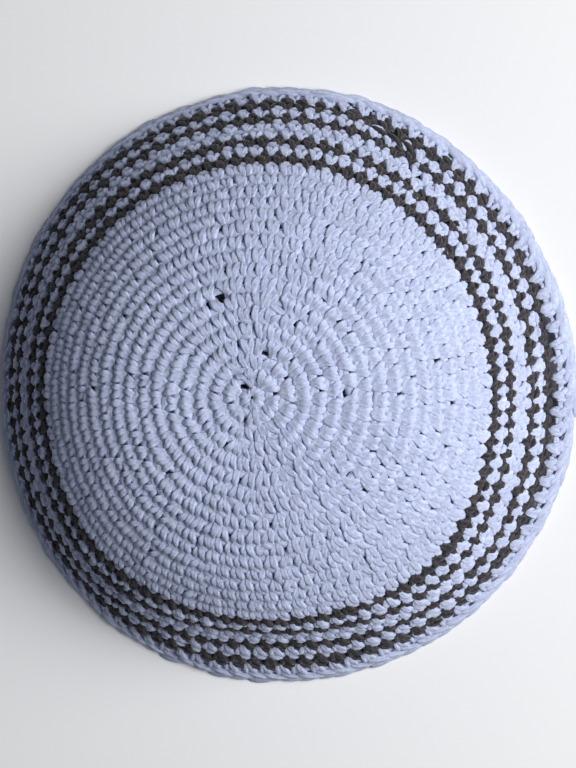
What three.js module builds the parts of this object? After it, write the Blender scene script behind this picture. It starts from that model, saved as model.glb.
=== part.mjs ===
import * as THREE from 'three';

// A crocheted skullcap that stands dome up on its rim. Millimetres, +Z up, the floor at z = 0.
// It is worked in rounds from the centre of the crown, so a place down the wall is counted in
// rounds, and a place around it is an azimuth in degrees from +X towards +Y.

const roundPitch = 4.3; // one round, measured down the wall
const rimRound = 26.8; // where the wall ends, with the chain that finishes the edge
const wallThickness = 3; // two layers of yarn loops
const ribHeight = 0.5; // the middle of a round above the grooves beside it
const yarnGap = 0.3; // clearance between one yarn's rounds and the next
const facets = 54; // flats around the cap
const stepsPerRound = 8; // short straight steps that add up to the wall's curve

const whiteYarn = new THREE.MeshStandardMaterial({ color: 0xd3d8ec, roughness: 0.9, metalness: 0 });
const greyYarn = new THREE.MeshStandardMaterial({ color: 0x56504f, roughness: 0.9, metalness: 0 });

// Each stretch of one yarn, from the round before its first to its last.
const stretches = [
  { name: 'crown', from: 0, to: 17, yarn: whiteYarn },
  { name: 'grey_round_1', from: 17, to: 18, yarn: greyYarn },
  { name: 'white_round_1', from: 18, to: 19, yarn: whiteYarn },
  { name: 'grey_round_2', from: 19, to: 20, yarn: greyYarn },
  { name: 'white_round_2', from: 20, to: 22, yarn: whiteYarn },
  { name: 'grey_round_3', from: 22, to: 23, yarn: greyYarn },
  { name: 'white_round_3', from: 23, to: 24, yarn: whiteYarn },
  { name: 'grey_round_4', from: 24, to: 25, yarn: greyYarn },
  { name: 'edge_round', from: 25, to: rimRound, yarn: whiteYarn },
];

// How far the wall has tipped down from level at a round.
const tips = [
  { round: 0, degrees: 0 },
  { round: 3, degrees: 4.5 },
  { round: 6, degrees: 11 },
  { round: 9, degrees: 21 },
  { round: 12, degrees: 33 },
  { round: 15, degrees: 44 },
  { round: 18, degrees: 53 },
  { round: 21, degrees: 58.5 },
  { round: 24, degrees: 60 },
  { round: 27, degrees: 55 },
];

// The cap is soft, so it stands in shallow lobes that grow towards the rim. Shares of the radius.
const lobes = [
  { count: 2, cosine: -0.018, sine: 0.003 },
  { count: 3, cosine: 0.003, sine: -0.003 },
  { count: 4, cosine: -0.002, sine: -0.002 },
];

// Where its wall leans in (minus) or bulges out: the middle of the place, how far it spreads
// around the cap in degrees and down it in millimetres, and how deep it is as a share of the radius.
const leans = [
  { azimuth: 0, height: 20, around: 24, down: 12, share: -0.028 },
  { azimuth: 45, height: 15, around: 22, down: 12, share: -0.012 },
  { azimuth: 135, height: 15, around: 22, down: 12, share: 0.01 },
  { azimuth: 225, height: 33, around: 22, down: 12, share: 0.022 },
  { azimuth: 270, height: 20, around: 24, down: 12, share: -0.05 },
  { azimuth: 315, height: 33, around: 22, down: 12, share: 0.036 },
  { azimuth: 0, height: 0, around: 30, down: 5, share: 0.01 },
];

// The wall's tip from level at a round, in radians.
function tipAt(round) {
  const next = Math.max(1, tips.findIndex((row) => row.round >= round));
  const above = tips[next - 1];
  const below = tips[next];
  const share = (round - above.round) / (below.round - above.round);
  return THREE.MathUtils.degToRad(THREE.MathUtils.lerp(above.degrees, below.degrees, share));
}

// The middle of the wall's thickness at a round: its radius, and its drop below the crown's centre.
function middleAt(round) {
  const steps = Math.max(1, Math.ceil(round * stepsPerRound));
  const length = (round * roundPitch) / steps;
  const middle = { radius: 0, drop: 0 };
  for (let step = 0; step < steps; step += 1) {
    const tip = tipAt((round * (step + 0.5)) / steps);
    middle.radius += length * Math.cos(tip);
    middle.drop += length * Math.sin(tip);
  }
  return middle;
}

// The crown's centre stands this high when the lower edge of the rim meets the floor.
const capHeight = middleAt(rimRound).drop + (wallThickness / 2) * Math.cos(tipAt(rimRound));

// A point of the section, off the middle of the wall towards the outside (plus) or the head.
function wallPoint(round, offset) {
  const middle = middleAt(round);
  const tip = tipAt(round);
  const height = round === rimRound ? 0 : capHeight - middle.drop + offset * Math.cos(tip);
  return new THREE.Vector2(middle.radius + offset * Math.sin(tip), height);
}

// Rounds from one end of a stretch to the other, a step apart, with both ends in the list.
function roundsBetween(from, to, step) {
  const rounds = [from];
  for (let round = Math.floor(from / step + 1) * step; round < to - step / 4; round += step) {
    rounds.push(round);
  }
  return [...rounds, to];
}

// The section of a stretch: down the plain inside, and back up the ribbed outside.
function stretchSection({ from, to }) {
  const halfGap = yarnGap / 2 / roundPitch;
  const start = from === 0 ? 0 : from + halfGap;
  const end = to === rimRound ? to : to - halfGap;
  const ribbed = (round) => wallThickness / 2 - ribHeight * Math.cos(Math.PI * round) ** 2;
  const inside = roundsBetween(start, end, 1).map((round) => wallPoint(round, -wallThickness / 2));
  const outside = roundsBetween(start, end, 0.5).map((round) => wallPoint(round, ribbed(round)));
  const section = [...inside, ...outside.reverse()];
  return from === 0 ? section : [...section, section[0].clone()];
}

// How much wider or narrower the soft wall stands at a place, as a share of its radius.
function swayAt(azimuth, height) {
  const grown = Math.max(0, 1 - height / capHeight);
  let share = 0;
  for (const lobe of lobes) {
    const turn = lobe.count * azimuth;
    share += grown * (lobe.cosine * Math.cos(turn) + lobe.sine * Math.sin(turn));
  }
  for (const lean of leans) {
    const off = azimuth - THREE.MathUtils.degToRad(lean.azimuth);
    const turn = THREE.MathUtils.radToDeg(Math.atan2(Math.sin(off), Math.cos(off)));
    share += lean.share * Math.exp(-((turn / lean.around) ** 2) - ((height - lean.height) / lean.down) ** 2);
  }
  return share;
}

// A stretch turned about the cap's axis, then let stand as the soft wall does.
function makeStretch(stretch) {
  const geometry = new THREE.LatheGeometry(stretchSection(stretch), facets);
  geometry.rotateX(Math.PI / 2);
  const place = geometry.getAttribute('position');
  for (let i = 0; i < place.count; i += 1) {
    const azimuth = Math.atan2(place.getY(i), place.getX(i));
    const scale = 1 + swayAt(azimuth, place.getZ(i));
    place.setXY(i, place.getX(i) * scale, place.getY(i) * scale);
  }
  geometry.computeVertexNormals();
  const mesh = new THREE.Mesh(geometry, stretch.yarn);
  mesh.name = stretch.name;
  return mesh;
}

const cap = new THREE.Group();
cap.add(...stretches.map(makeStretch));

export default cap;
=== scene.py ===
import math
import bmesh
import bpy
import numpy as np
from mathutils import Matrix, Vector


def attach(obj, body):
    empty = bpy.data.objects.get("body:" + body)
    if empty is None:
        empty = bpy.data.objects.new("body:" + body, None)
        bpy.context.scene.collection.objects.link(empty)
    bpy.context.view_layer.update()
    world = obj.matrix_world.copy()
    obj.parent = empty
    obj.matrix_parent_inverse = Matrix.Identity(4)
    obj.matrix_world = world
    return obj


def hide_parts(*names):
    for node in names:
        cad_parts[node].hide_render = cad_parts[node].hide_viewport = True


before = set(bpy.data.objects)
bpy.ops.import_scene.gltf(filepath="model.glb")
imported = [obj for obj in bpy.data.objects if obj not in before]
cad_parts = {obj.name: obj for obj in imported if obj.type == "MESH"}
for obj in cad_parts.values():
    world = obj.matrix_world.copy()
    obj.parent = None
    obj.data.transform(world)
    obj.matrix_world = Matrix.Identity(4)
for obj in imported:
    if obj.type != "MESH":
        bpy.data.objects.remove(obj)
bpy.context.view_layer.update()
mm = 0.001
rng = np.random.default_rng(613)  # one seed for every random draw

# the cap's wall as the frame has it: places down it are counted in rounds from the crown's centre
capForm = dict(
    roundPitch=4.3,  # mm down the wall for one round
    rimRound=26.8,
    wallThickness=3.0,
    floorGap=0.02,  # mm that keeps the rim's faces off the floor's
    tipRounds=(0, 3, 6, 9, 12, 15, 18, 21, 24, 27),
    tipDegrees=(0, 4.5, 11, 21, 33, 44, 53, 58.5, 60, 55),  # the wall's tip from level
    lobes=(
        dict(count=2, cosine=-0.018, sine=0.003),
        dict(count=3, cosine=0.003, sine=-0.003),
        dict(count=4, cosine=-0.002, sine=-0.002),
    ),
    leans=(
        dict(azimuth=0, height=20, around=24, down=12, share=-0.028),
        dict(azimuth=45, height=15, around=22, down=12, share=-0.012),
        dict(azimuth=135, height=15, around=22, down=12, share=0.01),
        dict(azimuth=225, height=33, around=22, down=12, share=0.022),
        dict(azimuth=270, height=20, around=24, down=12, share=-0.05),
        dict(azimuth=315, height=33, around=22, down=12, share=0.036),
        dict(azimuth=0, height=0, around=30, down=5, share=0.01),
    ),
    firstPlace=0.1,  # rounds from the centre, the nearest that yarn lies
    leastRadius=1.2,  # mm, so that yarn near the centre isn't thrown around it
    ridge=0.45,  # mm, the rise of each round between its grooves
    creases=(  # folds along the rounds, mm deep
        dict(azimuth=2, around=30, round=25.0, down=0.6, depth=2.5),
        dict(azimuth=2, around=30, round=26.7, down=0.7, depth=-1.4),
    ),
)


def tipAt(rounds):
    return np.radians(np.interp(rounds, capForm["tipRounds"], capForm["tipDegrees"]))


def traceWall(lastRound=30, steps=960):
    rounds = np.linspace(0, lastRound, steps + 1)
    tips = tipAt((rounds[1:] + rounds[:-1]) / 2)
    step = capForm["roundPitch"] * lastRound / steps
    radius = np.concatenate([[0], np.cumsum(np.cos(tips) * step)])
    drop = np.concatenate([[0], np.cumsum(np.sin(tips) * step)])
    return rounds, radius, drop


wallRounds, wallRadius, wallDrop = traceWall()
rimDrop = np.interp(capForm["rimRound"], wallRounds, wallDrop)
capHeight = rimDrop + capForm["wallThickness"] / 2 * np.cos(tipAt(capForm["rimRound"]))


def radiusAt(rounds):
    return np.interp(rounds, wallRounds, wallRadius)


def turnFrom(azimuth, degrees):  # degrees round the cap from a place on it
    off = azimuth - math.radians(degrees)
    return np.degrees(np.arctan2(np.sin(off), np.cos(off)))


def swayAt(azimuth, height):  # how the soft wall stands, as a share of its radius
    grown = np.maximum(0, 1 - height / capHeight)
    share = np.zeros_like(azimuth)
    for lobe in capForm["lobes"]:
        turn = lobe["count"] * azimuth
        share += grown * (lobe["cosine"] * np.cos(turn) + lobe["sine"] * np.sin(turn))
    for lean in capForm["leans"]:
        turn = turnFrom(azimuth, lean["azimuth"]) / lean["around"]
        share += lean["share"] * np.exp(-turn**2 - ((height - lean["height"]) / lean["down"]) ** 2)
    return share


def creaseAt(rounds, azimuth):
    depth = np.zeros_like(azimuth)
    for crease in capForm["creases"]:
        turn = turnFrom(azimuth, crease["azimuth"]) / crease["around"]
        depth += crease["depth"] * np.exp(-turn**2 - ((rounds - crease["round"]) / crease["down"]) ** 2)
    return depth


def capPoint(rounds, azimuth, lift):  # lift is mm out of the middle of the wall
    tip = tipAt(rounds)
    lift = lift - creaseAt(rounds, azimuth)
    radius = radiusAt(rounds) + lift * np.sin(tip)
    height = capHeight - np.interp(rounds, wallRounds, wallDrop) + lift * np.cos(tip)
    height = np.maximum(height, capForm["floorGap"])  # the soft rim is flat where it lies on the floor
    radius = radius * (1 + swayAt(azimuth, height))
    return np.stack([radius * np.cos(azimuth), radius * np.sin(azimuth), height], -1) * mm


def ridgeNormal(rounds, azimuth, stepRounds=0.02, stepTurn=0.002):  # which way the ridges face
    def onRidge(rounds, azimuth):
        return capPoint(rounds, azimuth, capForm["ridge"] * np.cos(2 * math.pi * (rounds - 0.5)))

    down = onRidge(rounds + stepRounds, azimuth) - onRidge(rounds - stepRounds, azimuth)
    around = onRidge(rounds, azimuth + stepTurn) - onRidge(rounds, azimuth - stepTurn)
    facing = np.cross(down, around)
    return facing / np.maximum(np.linalg.norm(facing, axis=-1, keepdims=True), 1e-12)


# a length of plied yarn, straight along Z, one unit long and about one unit in radius
yarnShape = dict(plyDip=0.88, twistDegrees=100, spread=1.08, press=0.95)


def twistStrand(sides, segments):
    bm = bmesh.new()
    bmesh.ops.create_circle(bm, segments=sides, radius=1)
    for column, vert in enumerate(bm.verts[:]):
        vert.co *= yarnShape["plyDip"] if column % 2 else 1
    twist = math.radians(yarnShape["twistDegrees"]) / segments
    ring = bm.edges[:]
    for segment in range(segments):
        grown = bmesh.ops.extrude_edge_only(bm, edges=ring)["geom"]
        verts = [part for part in grown if isinstance(part, bmesh.types.BMVert)]
        ring = [part for part in grown if isinstance(part, bmesh.types.BMEdge)]
        bmesh.ops.translate(bm, verts=verts, vec=(0, 0, 1 / segments))
        bmesh.ops.rotate(bm, verts=verts, cent=(0, 0, 0), matrix=Matrix.Rotation(twist, 3, "Z"))
    bmesh.ops.holes_fill(bm, edges=[edge for edge in bm.edges if edge.is_boundary], sides=sides)
    bmesh.ops.recalc_face_normals(bm, faces=bm.faces)
    bm.verts.index_update()
    points = np.array([vert.co for vert in bm.verts])
    turns = np.arctan2(points[:, 1], points[:, 0]) - twist * segments * points[:, 2]
    columns = np.round(turns / (2 * math.pi / sides)).astype(int) % sides
    faces, lay = [], []
    for face in bm.faces:
        corners = [vert.index for vert in face.verts]
        around = columns[corners]
        wraps = len(corners) == 4 and around.max() - around.min() > 1  # the last column meets the first
        faces.append(corners)
        for corner, column in zip(corners, around):
            lay.append(((column + sides * (wraps and column == 0)) / sides, points[corner, 2]))
    bm.free()
    return dict(points=points, faces=faces, lay=np.array(lay))


legStrand = twistStrand(sides=8, segments=6)
loopStrand = twistStrand(sides=6, segments=5)
backStrand = twistStrand(sides=6, segments=4)
faceCounts = [len(strand["faces"]) for strand in (legStrand, loopStrand, backStrand)]
print(f"yarn strands twisted, with {faceCounts} faces")

# the strands of one single crochet stitch, as stations along the yarn: rounds down from the hole it is
# worked into, stitch widths to the side, mm of lift, and mm of yarn radius
stitchPaths = dict(
    rightLeg=((-0.16, 0.1, -0.8, 0.8), (0.02, 0.13, 0.0, 1.02), (0.26, 0.19, 0.4, 1.1),
              (0.51, 0.25, 0.43, 1.12), (0.74, 0.29, 0.1, 1.04), (0.92, 0.31, -0.8, 0.8)),
    leftLeg=((-0.14, -0.1, -0.8, 0.8), (0.04, -0.13, 0.0, 1.0), (0.27, -0.19, 0.37, 1.07),
             (0.51, -0.25, 0.39, 1.09), (0.73, -0.29, 0.07, 1.02), (0.9, -0.31, -0.8, 0.8)),
    chain=((0.98, -0.55, -0.5, 0.9), (1.0, -0.28, -0.3, 1.1), (1.05, 0.0, -0.15, 1.2),
           (1.1, 0.28, -0.3, 1.1), (1.08, 0.55, -0.5, 0.9)),
    bandLong=((-0.22, 0.02, -0.8, 0.55), (-0.03, 0.05, -0.05, 0.98), (0.22, 0.14, 0.45, 1.12),
              (0.48, 0.25, 0.52, 1.16), (0.74, 0.33, 0.15, 1.0), (0.94, 0.34, -0.8, 0.65)),
    bandShort=((-0.1, -0.04, -0.8, 0.5), (0.07, -0.09, -0.05, 0.82), (0.28, -0.18, 0.32, 0.95),
               (0.5, -0.265, 0.36, 0.98), (0.7, -0.32, 0.05, 0.9), (0.87, -0.33, -0.8, 0.55)),
    bandChain=((1.0, -0.5, -0.7, 0.6), (1.04, -0.26, -0.1, 0.95), (1.12, 0.0, 0.12, 1.1),
               (1.18, 0.26, -0.1, 0.95), (1.15, 0.5, -0.7, 0.6)),
    carried=((0.0, -0.5, -0.4, 0.5), (0.22, -0.2, 0.9, 0.85), (0.5, 0.25, 1.25, 0.95),
             (0.8, 0.7, 0.9, 0.85), (1.05, 1.0, -0.4, 0.5)),
    tail=((1.32, -0.6, -0.3, 0.6), (1.22, 0.1, 0.9, 1.05), (1.18, 1.0, 1.15, 1.15),
          (1.24, 2.0, 1.0, 1.05), (1.36, 2.8, -0.3, 0.6)),
    backBar=((0.8, -0.6, -0.3, 0.6), (0.86, -0.25, -0.45, 0.9), (0.84, 0.15, -0.45, 0.9),
             (0.72, 0.55, -0.3, 0.6)),
    cornerBar=((0.06, -0.05, -0.8, 0.9), (0.14, 0.3, -0.4, 1.25), (0.16, 0.7, -0.4, 1.25),
               (0.08, 1.05, -0.8, 0.9)),
    backLeg=((-0.1, 0.03, -0.9, 0.8), (0.2, 0.03, -0.4, 1.3), (0.55, 0.0, -0.35, 1.4),
             (0.92, 0.0, -0.9, 0.9)),
    rimLong=((-0.12, 0.0, -0.6, 0.45), (0.04, 0.03, 0.05, 0.75), (0.34, 0.1, 0.35, 0.85),
             (0.64, 0.17, 0.4, 0.9), (0.9, 0.22, 0.2, 0.85), (1.12, 0.26, -0.4, 0.55)),
    rimShort=((-0.05, -0.12, -0.6, 0.42), (0.1, -0.15, 0.0, 0.68), (0.38, -0.2, 0.28, 0.78),
              (0.66, -0.25, 0.32, 0.8), (0.9, -0.29, 0.12, 0.75), (1.1, -0.31, -0.45, 0.5)),
    rimUpper=((1.02, -0.35, -0.3, 0.6), (1.12, 0.0, 0.3, 1.05), (1.25, 0.5, 0.45, 1.15),
              (1.4, 1.0, 0.2, 1.05), (1.45, 1.3, -0.4, 0.6)),
    rimLower=((1.8, -0.35, -0.4, 0.6), (1.74, 0.0, 0.0, 1.0), (1.62, 0.5, 0.2, 1.1),
              (1.5, 1.0, 0.1, 1.0), (1.45, 1.3, -0.4, 0.6)),
    rimBack=((1.1, -0.1, -0.3, 0.6), (1.25, 0.15, -0.6, 0.8), (1.4, 0.5, -0.65, 0.85),
             (1.5, 0.85, -0.6, 0.8), (1.5, 1.1, -0.2, 0.6)),
)
stitchWidth = 4.5  # mm, a usual stitch, for the turn of the yarn about its path


def curveThrough(stations, along):  # a smooth curve through the stations, along from 0 to 1
    knots = np.vstack([2 * stations[0] - stations[1], stations, 2 * stations[-1] - stations[-2]])
    place = np.clip(along, 0, 1) * (len(stations) - 1)
    first = np.minimum(place.astype(int), len(stations) - 2)
    t = (place - first)[:, None]
    a, b, c, d = (knots[first + k] for k in range(4))
    return 0.5 * (2 * b + (c - a) * t + (2 * a - 5 * b + 4 * c - d) * t**2 + (3 * b - a - 3 * c + d) * t**3)


def bendStrand(strand, path):
    stations = np.array(path, float)
    along = strand["points"][:, 2]
    middle = curveThrough(stations, along)
    span = 0.02
    ahead = (curveThrough(stations, along + span) - curveThrough(stations, along - span))[:, :3]
    ahead *= (capForm["roundPitch"], stitchWidth, 1)
    ahead /= np.linalg.norm(ahead, axis=1, keepdims=True)
    out = np.array([0, 0, 1]) - ahead[:, 2:] * ahead
    out /= np.linalg.norm(out, axis=1, keepdims=True)
    side = np.cross(out, ahead)
    section = strand["points"][:, :2] * middle[:, 3:] * (yarnShape["spread"], yarnShape["press"])
    return dict(strand=strand, middle=middle[:, :3], offset=section[:, :1] * side + section[:, 1:] * out)


strandKinds = dict(
    rightLeg=legStrand, leftLeg=legStrand, chain=loopStrand,
    bandLong=legStrand, bandShort=loopStrand, bandChain=loopStrand,
    carried=loopStrand, tail=loopStrand, backBar=backStrand, cornerBar=backStrand, backLeg=backStrand,
    rimLong=legStrand, rimShort=loopStrand, rimUpper=loopStrand, rimLower=loopStrand, rimBack=loopStrand,
)
bentStrands = {name: bendStrand(strandKinds[name], path) for name, path in stitchPaths.items()}

# where each stitch of each round is worked, as a crocheter would count it
roundPlan = dict(
    sectors=6,  # stitches in the first round, and increases in each round of the crown
    crownRounds=17,
    lastRound=26,
    lean=0.14,  # stitch widths that a stitch leans along the round
    pull=0.18,  # stitch widths that a hole off to one side can pull the foot of a stitch
    uneven=0.05,  # spread of the stitches' places, in stitch widths
    bandLoose=1.4,  # how much looser the stitches of the band are than the crown's
    turnStep=0.618,  # of a sector, that increases move on from round to round
    sectorStep=0.37,  # of a sector, that they differ from one sector to the next
    stitchStray=dict(sag=0.03, plump=0.05, proud=0.08, tone=1),  # how far whole stitches differ
    strandStray=dict(plump=0.06, down=0.035, aside=0.035, lift=0.1, tone=0.4),  # and strands in a stitch
    # where each round of the band closes, degrees
    joins={18: 37, 19: 42, 20: 50, 21: 54, 22: 57, 23: 60, 24: 64, 25: 68, 26: 77},
    jog=0.34,  # rounds that its first stitch sits above and its last below
    jogFade=1.3,  # stitches over which that evens out
    # the edge stitches that are drawn in under the fold of the rim
    tuck=dict(strands=("rimLong", "rimShort", "backLeg"), azimuth=2, around=28, share=0.5),
    holeAside=0.28,  # stitch widths that a slack hole lies beside the foot of a stitch
    holeDown=0.03,  # rounds that it lies below
    slackReach=1.9,  # mm around a slack hole where the yarn is drawn aside
    slackHoles=(  # holes that the hook left open, and how far the yarn is drawn aside, mm
        dict(round=7, azimuth=4, drawn=2.0),
        dict(round=2, azimuth=131, drawn=2.0),
        dict(round=7, azimuth=76, drawn=1.8),
        dict(round=8, azimuth=110, drawn=2.0),
        dict(round=4, azimuth=75, drawn=1.6),
        dict(round=9, azimuth=318, drawn=1.7),
    ),
    pinholes=dict(rounds=range(3, 10), share=0.16, drawn=0.75),  # small gaps beside the feet of stitches
)


def increasesOf(number):  # which hole of the round before each stitch goes into
    below = number - 1
    holes = []
    for sector in range(roundPlan["sectors"]):
        twice = int((number * roundPlan["turnStep"] + sector * roundPlan["sectorStep"]) % 1 * below)
        holes += [sector * below + hole for hole in range(below) for _ in range(2 if hole == twice else 1)]
    return np.array(holes)


def jogAt(number, tops):  # the step in a round where its end meets its start
    if number not in roundPlan["joins"]:
        return np.zeros_like(tops)
    after = turnFrom(tops, roundPlan["joins"][number]) / np.degrees(tops[1] - tops[0])
    return -roundPlan["jog"] * np.sign(after) * np.exp(-np.abs(after) / roundPlan["jogFade"])


def layRounds():
    rounds = {}
    stray = roundPlan["stitchStray"]
    for number in range(1, roundPlan["lastRound"] + 1):
        count = roundPlan["sectors"] * min(number, roundPlan["crownRounds"])
        pitch = 2 * math.pi / count
        if number == 1:
            holes = pitch * np.arange(count)
        else:
            below = rounds[number - 1]
            worked = increasesOf(number) if count > below["count"] else np.arange(count)
            holes = below["start"] + (worked + 0.5) * below["pitch"]
        start = np.mean(holes - pitch * np.arange(count)) + roundPlan["lean"] * pitch
        tops = start + pitch * (np.arange(count) + rng.normal(0, roundPlan["uneven"], count))
        holes = tops + np.clip(holes - tops, -roundPlan["pull"] * pitch, roundPlan["pull"] * pitch)
        sag = rng.normal(0, stray["sag"], count) + jogAt(number, tops)
        rounds[number] = dict(
            number=number, count=count, pitch=pitch, start=start, holes=holes, tops=tops, sag=sag,
            plump=rng.normal(1, stray["plump"], count), proud=rng.normal(0, stray["proud"], count),
            tone=rng.normal(0, stray["tone"], count),
        )
    return rounds


crochet = layRounds()
print(f"rounds laid: {len(crochet)}, {sum(row['count'] for row in crochet.values())} stitches")


def besideFeet(row):  # where slack holes can open in a round
    return row["holes"] + roundPlan["holeAside"] * row["pitch"]


def findHoles():
    places = []
    for hole in roundPlan["slackHoles"]:
        feet = besideFeet(crochet[hole["round"]])
        nearest = np.argmin(np.abs(turnFrom(feet, hole["azimuth"])))
        places.append((hole["round"] - 1 + roundPlan["holeDown"], feet[nearest], hole["drawn"]))
    pinholes = roundPlan["pinholes"]
    for number in pinholes["rounds"]:
        row = crochet[number]
        for foot in besideFeet(row)[rng.random(row["count"]) < pinholes["share"]]:
            places.append((number - 1 + roundPlan["holeDown"], foot, pinholes["drawn"]))
    return places


slackPlaces = findHoles()


def drawAside(rounds, azimuth):  # open the slack holes
    for holeRound, holeAzimuth, drawn in slackPlaces:
        along = (rounds - holeRound) * capForm["roundPitch"]
        if np.abs(along).min() > 2 * roundPlan["slackReach"]:
            continue
        across = np.radians(turnFrom(azimuth, math.degrees(holeAzimuth))) * radiusAt(rounds)
        away = np.hypot(across, along) + 0.05  # never zero
        push = drawn * np.exp(-((away / roundPlan["slackReach"]) ** 2)) / away
        rounds = rounds + push * along / capForm["roundPitch"]
        azimuth = azimuth + push * across / np.maximum(radiusAt(rounds), capForm["leastRadius"])
    return rounds, azimuth


def tuckUnder(name, row, down):  # the edge stitches are short where the rim folds
    tuck = roundPlan["tuck"]
    if row["number"] != roundPlan["lastRound"] or name not in tuck["strands"]:
        return down
    drawnIn = tuck["share"] * np.exp(-((turnFrom(row["tops"], tuck["azimuth"]) / tuck["around"]) ** 2))
    return down + drawnIn[:, None] * (down.max() - down)


def strayBy(row, measure):  # how one strand of each stitch in a round differs from the plan
    loose = 1 if row["number"] <= roundPlan["crownRounds"] else roundPlan["bandLoose"]
    return rng.normal(0, roundPlan["strandStray"][measure] * loose, (row["count"], 1))


def workStrand(name, row):  # one strand of every stitch in a round, laid on the cap
    bent = bentStrands[name]
    down, aside, lift = bent["middle"].T
    ease = np.clip(down, 0, 1)
    ease = ease * ease * (3 - 2 * ease)
    plump = row["plump"][:, None] + strayBy(row, "plump")
    down = tuckUnder(name, row, down) + row["sag"][:, None] + strayBy(row, "down")
    aside = aside + strayBy(row, "aside")
    rounds = row["number"] - 1 + down
    azimuth = row["holes"][:, None] * (1 - ease) + row["tops"][:, None] * ease + aside * row["pitch"]
    rounds, azimuth = drawAside(rounds, azimuth)
    rounds = rounds + bent["offset"][:, 0] * plump / capForm["roundPitch"]
    rounds = np.maximum(rounds, capForm["firstPlace"])
    azimuth = azimuth + bent["offset"][:, 1] * plump / np.maximum(radiusAt(rounds), capForm["leastRadius"])
    lift = lift + row["proud"][:, None] + strayBy(row, "lift") + bent["offset"][:, 2] * plump
    tone = row["tone"][:, None] + strayBy(row, "tone") + 0 * down
    return bent["strand"], capPoint(rounds, azimuth, lift), tone, ridgeNormal(rounds, azimuth)


def joinStrands(name, batches):
    points, faces, lay, tone, facing, base = [], [], [], [], [], 0
    for strand, places, tones, normals in batches:
        copies, size = places.shape[:2]
        for _ in range(copies):
            faces += [[base + corner for corner in face] for face in strand["faces"]]
            base += size
        points.append(places.reshape(-1, 3))
        lay.append(np.tile(strand["lay"], (copies, 1)))
        tone.append(tones.ravel())
        facing.append(normals.ravel())
    mesh = bpy.data.meshes.new(name)
    mesh.from_pydata(np.concatenate(points), [], faces)
    mesh.uv_layers.new(name="yarnLay").data.foreach_set("uv", np.concatenate(lay).ravel())
    mesh.attributes.new("tone", "FLOAT", "POINT").data.foreach_set("value", np.concatenate(tone))
    facings = mesh.attributes.new("facing", "FLOAT_VECTOR", "POINT")
    facings.data.foreach_set("vector", np.concatenate(facing))
    mesh.shade_smooth()
    piece = bpy.data.objects.new(name, mesh)
    bpy.context.collection.objects.link(piece)
    return piece


class Wire:  # a node socket that can be reckoned with
    def __init__(self, tree, socket=None):
        self.tree = tree
        self.socket = socket

    def add(self, kind, settings=None, inputs=None, output=0):
        node = self.tree.nodes.new(kind)
        for key, value in (settings or {}).items():
            setattr(node, key, value)
        for key, value in (inputs or {}).items():
            if isinstance(value, Wire):
                self.tree.links.new(value.socket, node.inputs[key])
            else:
                node.inputs[key].default_value = value
        return Wire(self.tree, node.outputs[output] if node.outputs else None)

    def math(self, operation, first, second=0.0):
        return self.add("ShaderNodeMath", dict(operation=operation), {0: first, 1: second})

    def __add__(self, other):
        return self.math("ADD", self, other)

    def __radd__(self, other):
        return self.math("ADD", other, self)

    def __mul__(self, other):
        return self.math("MULTIPLY", self, other)

    def __rmul__(self, other):
        return self.math("MULTIPLY", other, self)


# what each yarn is spun from
whiteCotton = dict(
    slot="white_yarn",
    colour=(0.60, 0.665, 0.90, 1),
    shade=(0.47, 0.52, 0.74, 1),
    fleck=(0.68, 0.74, 0.95, 1),
    toneSpread=0.035,  # how far strands differ in brightness
    roughness=0.88,
    sheen=0.2,
    glow=0.15,  # light that goes on inside the yarn
    paintedPlyShade=0.1,  # painted shade: how much darker the colour is painted in the grooves between plies
    fuzz=0.6,  # how far loose fibres soften its roundness
)
greyCotton = dict(
    slot="grey_yarn",
    colour=(0.078, 0.071, 0.076, 1),
    shade=(0.026, 0.025, 0.036, 1),
    fleck=(0.19, 0.17, 0.165, 1),
    toneSpread=0.08,
    roughness=0.9,
    sheen=0.1,
    glow=0.0,
    # painted shade in the grooves between plies
    paintedPlyShade=0.5,
    fuzz=0.3,
)
yarnSurface = dict(
    plies=4,  # seen around a strand
    grainAround=14.0,  # fibres around a strand
    grainAlong=4.0,
    grainShift=3.7,  # so that strands don't share their fibres
    heather=900.0,  # blotches in a metre
    fleckShare=0.7,
    plyRelief=0.4,
    fibreRelief=0.7,
    reliefDepth=0.0003,  # metres
    glowDepth=0.0015,  # metres
)


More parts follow.
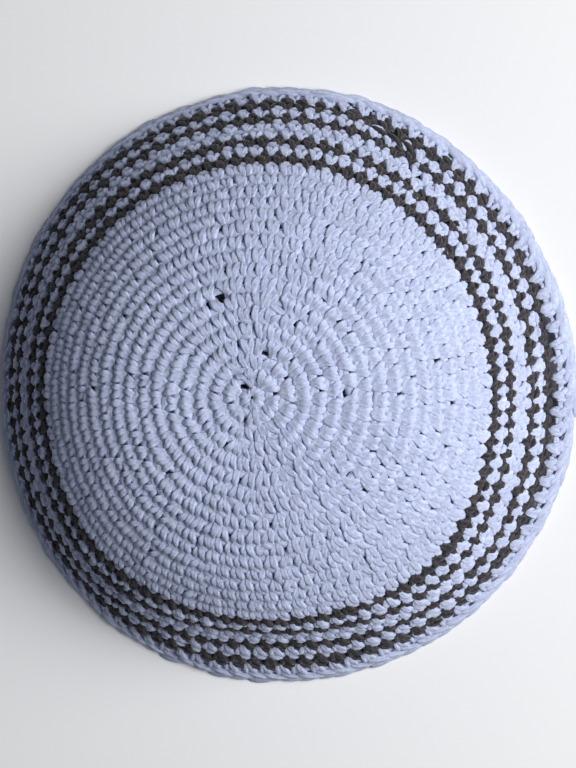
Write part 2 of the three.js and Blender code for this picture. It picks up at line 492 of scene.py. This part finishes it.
def spinMaterial(name, yarn):
    material = bpy.data.materials.new(name)
    material.use_nodes = True
    tree = material.node_tree
    tree.nodes.clear()
    wire = Wire(tree)
    lay = wire.add("ShaderNodeUVMap", dict(uv_map="yarnLay"))
    around = wire.add("ShaderNodeSeparateXYZ", None, {0: lay}, "X")
    along = wire.add("ShaderNodeSeparateXYZ", None, {0: lay}, "Y")
    tone = wire.add("ShaderNodeAttribute", dict(attribute_name="tone"), None, "Fac")
    place = wire.add("ShaderNodeTexCoord", None, None, "Object")
    plies = 0.5 + 0.5 * wire.math("COSINE", around * (yarnSurface["plies"] * 2 * math.pi))
    grain = wire.add("ShaderNodeCombineXYZ", None, {
        0: around * yarnSurface["grainAround"],
        1: along * yarnSurface["grainAlong"],
        2: tone * yarnSurface["grainShift"],
    })
    fibre = wire.add("ShaderNodeTexNoise", None, {
        "Vector": grain, "Scale": 1.0, "Detail": 3.0, "Roughness": 0.6,
    })
    heather = wire.add("ShaderNodeTexNoise", None, {
        "Vector": place, "Scale": yarnSurface["heather"], "Detail": 3.0, "Roughness": 0.65,
    })
    mixColour = dict(data_type="RGBA")
    blend = wire.add("ShaderNodeMapRange", None, {0: heather, 1: 0.38, 2: 0.62})
    body = wire.add("ShaderNodeMix", mixColour, {0: blend, 6: yarn["shade"], 7: yarn["colour"]}, 2)
    flecked = wire.add("ShaderNodeMapRange", None, {
        0: fibre, 1: 0.52, 2: 0.72, 3: 0.0, 4: yarnSurface["fleckShare"],
    })
    body = wire.add("ShaderNodeMix", mixColour, {0: flecked, 6: body, 7: yarn["fleck"]}, 2)
    # random tone of the strands, times painted shade in the grooves between plies
    toneAndPaintedPlyShade = (1 + tone * yarn["toneSpread"]) * (1 - yarn["paintedPlyShade"] + yarn["paintedPlyShade"] * plies)
    body = wire.add("ShaderNodeVectorMath", dict(operation="SCALE"), {0: body, "Scale": toneAndPaintedPlyShade})
    relief = plies * yarnSurface["plyRelief"] + fibre * yarnSurface["fibreRelief"]
    facing = wire.add("ShaderNodeAttribute", dict(attribute_name="facing"), None, "Vector")
    toWorld = dict(vector_type="NORMAL", convert_from="OBJECT", convert_to="WORLD")
    facing = wire.add("ShaderNodeVectorTransform", toWorld, {0: facing})
    surface = wire.add("ShaderNodeNewGeometry", None, None, "Normal")
    # fibres that stand off the yarn even out its roundness, except where it turns away
    dot = dict(operation="DOT_PRODUCT")
    outward = wire.add("ShaderNodeVectorMath", dot, {0: surface, 1: facing}, "Value")
    haze = wire.add("ShaderNodeMapRange", None, {0: outward, 1: 0.0, 2: 0.6, 3: 0.0, 4: yarn["fuzz"]})
    soft = wire.add("ShaderNodeMix", dict(data_type="VECTOR"), {0: haze, 4: surface, 5: facing}, 1)
    soft = wire.add("ShaderNodeVectorMath", dict(operation="NORMALIZE"), {0: soft})
    bump = wire.add("ShaderNodeBump", None, {
        "Strength": 0.8, "Distance": yarnSurface["reliefDepth"], "Height": relief, "Normal": soft,
    })
    rough = yarn["roughness"] + fibre * 0.1
    shader = wire.add("ShaderNodeBsdfPrincipled", None, {
        "Base Color": body, "Roughness": rough, "Normal": bump, "Specular IOR Level": 0.12,
        "Sheen Weight": yarn["sheen"], "Sheen Roughness": 0.6,
        "Subsurface Weight": yarn["glow"], "Subsurface Radius": (1, 1, 1),
        "Subsurface Scale": yarnSurface["glowDepth"],
    })
    wire.add("ShaderNodeOutputMaterial", None, {"Surface": shader})
    return material


yarns = {yarn["slot"]: spinMaterial(name, yarn)
         for name, yarn in (("whiteCotton", whiteCotton), ("greyCotton", greyCotton))}

# each stretch of one yarn: the rounds in it and the piece of the frame it stands for
stretches = (
    dict(name="crown_start", node="crown", slot="white_yarn", rounds=range(1, 13)),
    dict(name="crown_shoulder", node="crown", slot="white_yarn", rounds=range(13, 18)),
    dict(name="grey_round_1_yarn", node="grey_round_1", slot="grey_yarn", rounds=range(18, 19)),
    dict(name="white_round_1_yarn", node="white_round_1", slot="white_yarn", rounds=range(19, 20)),
    dict(name="grey_round_2_yarn", node="grey_round_2", slot="grey_yarn", rounds=range(20, 21)),
    dict(name="white_round_2_yarn", node="white_round_2", slot="white_yarn", rounds=range(21, 23)),
    dict(name="grey_round_3_yarn", node="grey_round_3", slot="grey_yarn", rounds=range(23, 24)),
    dict(name="white_round_3_yarn", node="white_round_3", slot="white_yarn", rounds=range(24, 25)),
    dict(name="grey_round_4_yarn", node="grey_round_4", slot="grey_yarn", rounds=range(25, 26),
         ends=dict(strand="carried", number=24, azimuths=(60.5, 63.5, 66.5))),
    dict(name="edge_round_yarn", node="edge_round", slot="white_yarn", rounds=range(26, 27),
         ends=dict(strand="tail", number=26, azimuths=(76.5,))),
)
crownStrands = ("rightLeg", "leftLeg", "chain", "cornerBar", "backLeg")
bandStrands = ("bandLong", "bandShort", "bandChain", "backBar", "backLeg")
rimStrands = ("rimLong", "rimShort", "backBar", "backLeg", "rimUpper", "rimLower", "rimBack")


def layEnds(ends):  # loose lengths of yarn where rounds begin and end
    places = np.radians(ends["azimuths"])
    still = np.zeros(len(places))
    pitch = crochet[ends["number"]]["pitch"]
    return dict(number=ends["number"], count=len(places), pitch=pitch, holes=places,
                tops=places, plump=still + 1, proud=still, sag=still, tone=still)


def workStretch(stretch):
    batches = []
    for number in stretch["rounds"]:
        names = crownStrands if number <= roundPlan["crownRounds"] else bandStrands
        names = rimStrands if number == roundPlan["lastRound"] else names
        batches += [workStrand(name, crochet[number]) for name in names]
    if "ends" in stretch:
        batches.append(workStrand(stretch["ends"]["strand"], layEnds(stretch["ends"])))
    piece = joinStrands(stretch["name"], batches)
    piece.data.materials.append(yarns[stretch["slot"]])
    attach(piece, "root")
    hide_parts(stretch["node"])
    return piece


for stretch in stretches:
    piece = workStretch(stretch)
    piece.data.calc_loop_triangles()
    print(f"worked {piece.name}: {len(piece.data.loop_triangles)} triangles")

# the room: a pale floor, one large soft light from the right and a weak fill
studio = dict(
    floorSize=4.0,
    floorColour=(0.95, 0.95, 0.95, 1),
    floorRoughness=0.9,
    keyPower=11.9,
    keySize=0.7,
    keyDistance=1.0,
    keyAzimuth=8,
    keyElevation=45,
    fill=0.11,
    fillColour=(0.78, 0.85, 1.0, 1),
)


def layFloor():
    bm = bmesh.new()
    bmesh.ops.create_grid(bm, x_segments=1, y_segments=1, size=studio["floorSize"] / 2)
    mesh = bpy.data.meshes.new("floor")
    bm.to_mesh(mesh)
    bm.free()
    floor = bpy.data.objects.new("floor", mesh)
    bpy.context.collection.objects.link(floor)
    material = bpy.data.materials.new("paleFloor")
    material.use_nodes = True
    shader = material.node_tree.nodes["Principled BSDF"]
    shader.inputs["Base Color"].default_value = studio["floorColour"]
    shader.inputs["Roughness"].default_value = studio["floorRoughness"]
    mesh.materials.append(material)


def hangLight():
    light = bpy.data.lights.new("key", "AREA")
    light.energy = studio["keyPower"]
    light.size = studio["keySize"]
    lamp = bpy.data.objects.new("key", light)
    bpy.context.collection.objects.link(lamp)
    azimuth, elevation = math.radians(studio["keyAzimuth"]), math.radians(studio["keyElevation"])
    level = math.cos(elevation)
    towards = Vector((math.cos(azimuth) * level, math.sin(azimuth) * level, math.sin(elevation)))
    lamp.location = towards * studio["keyDistance"]
    lamp.rotation_euler = towards.to_track_quat("Z", "Y").to_euler()
    world = bpy.data.worlds.new("fill")
    world.use_nodes = True
    background = world.node_tree.nodes["Background"]
    background.inputs["Color"].default_value = studio["fillColour"]
    background.inputs["Strength"].default_value = studio["fill"]
    bpy.context.scene.world = world
    bpy.context.scene.view_settings.view_transform = "Standard"


# the camera looks almost straight down, a little from the right
shot = dict(
    distance=0.7,
    tiltDegrees=8.0,
    azimuthDegrees=19.0,
    focalPixels=2400,
    frameHeight=768,
    sensor=36,  # mm
    aim=(5.8, 2.4, 30),  # mm
)


def setCamera():
    camera = bpy.data.cameras.new("camera")
    camera.sensor_width = shot["sensor"]
    camera.lens = shot["focalPixels"] / shot["frameHeight"] * camera.sensor_width
    tilt, azimuth = math.radians(shot["tiltDegrees"]), math.radians(shot["azimuthDegrees"])
    back = Vector((math.sin(tilt) * math.cos(azimuth), math.sin(tilt) * math.sin(azimuth), math.cos(tilt)))
    right = Vector((0, 1, 0)).cross(back).normalized()
    up = back.cross(right)
    eye = bpy.data.objects.new("camera", camera)
    bpy.context.collection.objects.link(eye)
    turn = Matrix((right, up, back)).transposed().to_4x4()
    eye.matrix_world = Matrix.Translation(Vector(shot["aim"]) * mm + back * shot["distance"]) @ turn
    bpy.context.scene.camera = eye


layFloor()
hangLight()
setCamera()
print("room, light and camera set")
